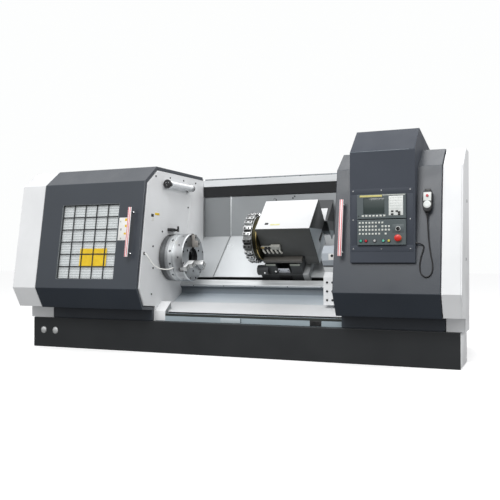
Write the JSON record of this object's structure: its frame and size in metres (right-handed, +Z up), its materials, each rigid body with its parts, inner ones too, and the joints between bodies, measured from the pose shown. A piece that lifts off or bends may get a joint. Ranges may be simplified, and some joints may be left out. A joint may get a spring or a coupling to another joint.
{
  "type": "slant bed cnc lathe",
  "caption": "Enclosed turning machine on a low base: wrap-round sliding doors, jaw chuck, drum turret on a slanted bed with folding way covers, tailstock and console.",
  "frame": {"origin": "centre of the base's underside, on the floor", "axes": "+X along the spindle from the headstock to the tailstock, -Y to the operator at the front, +Z up"},
  "size_m": [4.344, 1.9156, 1.964],
  "materials": {
    "base_frame": "charcoal paint",
    "left_cover": "white powder coat",
    "left_end_plate": "white powder coat",
    "right_cover": "white powder coat",
    "right_end_plate": "white powder coat",
    "headstock_panel": "white powder coat",
    "headstock": "painted casting",
    "slant_bed": "painted casting",
    "tailstock_way": "ground steel",
    "carriage_way_lower": "ground steel",
    "carriage_way_upper": "ground steel",
    "chip_chute": "white powder coat",
    "front_sill": "light blue paint",
    "rear_wall": "grey paint",
    "top_rail": "white powder coat",
    "rail_channel": "charcoal paint",
    "way_cover_left_fixed": "ground steel",
    "way_cover_right_fixed": "ground steel",
    "work_lamp": "lamp glass in steel clamps",
    "coolant_nozzle": "moulded black plastic",
    "coolant_pipe": "white tube",
    "electrical_cabinet": "white powder coat",
    "cabinet_door": "white powder coat",
    "left_door_shell": "dark grey-blue paint",
    "left_window": "clear safety glass",
    "window_grid": "charcoal paint",
    "left_handle": "red and white striped paint",
    "right_door_shell": "dark grey-blue paint",
    "right_handle": "red and white striped paint",
    "console_box": "dark grey-blue paint",
    "display_unit": "grey moulded housing",
    "operator_unit": "grey moulded housing",
    "override_knob": "moulded black plastic",
    "emergency_stop": "red push button",
    "pendant": "moulded black plastic",
    "pendant_cord": "black cable",
    "cord_gland": "moulded black plastic",
    "spindle": "ground steel",
    "chuck_body": "ground steel",
    "jaw_1": "ground steel",
    "jaw_2": "ground steel",
    "jaw_3": "ground steel",
    "saddle": "painted casting",
    "saddle_cap": "ground steel",
    "way_cover_left": "ground steel",
    "way_cover_right": "ground steel",
    "slide_guard": "charcoal paint",
    "way_cover_middle": "ground steel",
    "cross_slide": "painted casting",
    "turret_cover": "white powder coat",
    "turret_disc": "ground steel",
    "turret_ring": "bronzed ring",
    "tailstock_base": "white powder coat",
    "tailstock_body": "grey painted casting",
    "tailstock_quill": "ground steel"
  },
  "bodies": {
    "frame": {"base_frame": "base_frame", "left_cover": "left_cover", "left_end_plate": "left_end_plate", "right_cover": "right_cover", "right_end_plate": "right_end_plate", "headstock_panel": "headstock_panel", "headstock": "headstock", "slant_bed": "slant_bed", "tailstock_way": "tailstock_way", "carriage_way_lower": "carriage_way_lower", "carriage_way_upper": "carriage_way_upper", "chip_chute": "chip_chute", "front_sill": "front_sill", "rear_wall": "rear_wall", "top_rail": "top_rail", "rail_channel": "rail_channel", "way_cover_left_fixed": "way_cover_left_fixed", "way_cover_right_fixed": "way_cover_right_fixed", "work_lamp": "work_lamp", "coolant_nozzle": "coolant_nozzle", "coolant_pipe": "coolant_pipe", "electrical_cabinet": "electrical_cabinet", "cabinet_door": "cabinet_door"},
    "left_door": {"left_door_shell": "left_door_shell", "left_window": "left_window", "window_grid": "window_grid", "left_handle": "left_handle"},
    "right_door": {"right_door_shell": "right_door_shell", "right_handle": "right_handle", "console_box": "console_box", "display_unit": "display_unit", "operator_unit": "operator_unit", "override_knob": "override_knob", "emergency_stop": "emergency_stop", "pendant": "pendant", "pendant_cord": "pendant_cord", "cord_gland": "cord_gland"},
    "spindle": {"spindle": "spindle", "chuck_body": "chuck_body"},
    "jaw_1": {"jaw_1": "jaw_1"},
    "jaw_2": {"jaw_2": "jaw_2"},
    "jaw_3": {"jaw_3": "jaw_3"},
    "carriage": {"saddle": "saddle", "saddle_cap": "saddle_cap", "way_cover_left": "way_cover_left", "way_cover_right": "way_cover_right", "slide_guard": "slide_guard"},
    "cover_mid": {"way_cover_middle": "way_cover_middle"},
    "cross_slide": {"cross_slide": "cross_slide", "turret_cover": "turret_cover"},
    "turret": {"turret_disc": "turret_disc", "turret_ring": "turret_ring"},
    "tailstock": {"tailstock_base": "tailstock_base", "tailstock_body": "tailstock_body", "tailstock_quill": "tailstock_quill"}
  },
  "joints": [
    {"name": "left_door_slide", "type": "slide", "parent": "frame", "child": "left_door", "axis": [1, 0, 0], "range_m": [0, 1.08]},
    {"name": "right_door_slide", "type": "slide", "parent": "frame", "child": "right_door", "axis": [-1, 0, 0], "range_m": [0, 0.784]},
    {"name": "spindle_turn", "type": "hinge", "parent": "frame", "child": "spindle", "pos_m": [-0.55, -0.454, 0.912], "axis": [1, 0, 0], "continuous": true},
    {"name": "jaw_1_slide", "type": "slide", "parent": "spindle", "child": "jaw_1", "axis": [0, 0, 1], "range_m": [-0.03, 0.012]},
    {"name": "jaw_2_slide", "type": "slide", "parent": "spindle", "child": "jaw_2", "axis": [0, -0.866, -0.5], "range_m": [-0.03, 0.012]},
    {"name": "jaw_3_slide", "type": "slide", "parent": "spindle", "child": "jaw_3", "axis": [0, 0.866, -0.5], "range_m": [-0.03, 0.012]},
    {"name": "carriage_slide", "type": "slide", "parent": "frame", "child": "carriage", "axis": [1, 0, 0], "range_m": [-0.29, 0.1]},
    {"name": "cover_slide", "type": "slide", "parent": "frame", "child": "cover_mid", "axis": [1, 0, 0], "range_m": [-0.145, 0.05]},
    {"name": "cross_slide_feed", "type": "slide", "parent": "carriage", "child": "cross_slide", "axis": [0, 0.7071, 0.7071], "range_m": [-0.02, 0.24]},
    {"name": "turret_index", "type": "hinge", "parent": "cross_slide", "child": "turret", "pos_m": [0.095, -0.26591, 1.10009], "axis": [1, 0, 0], "continuous": true},
    {"name": "tailstock_slide", "type": "slide", "parent": "frame", "child": "tailstock", "axis": [1, 0, 0], "range_m": [-0.1, 0.6]}
  ],
  "couplings": [
    {"joint": "jaw_2_slide", "follows": "jaw_1_slide", "ratio": 1},
    {"joint": "jaw_3_slide", "follows": "jaw_1_slide", "ratio": 1},
    {"joint": "cover_slide", "follows": "carriage_slide", "ratio": 0.5}
  ]
}
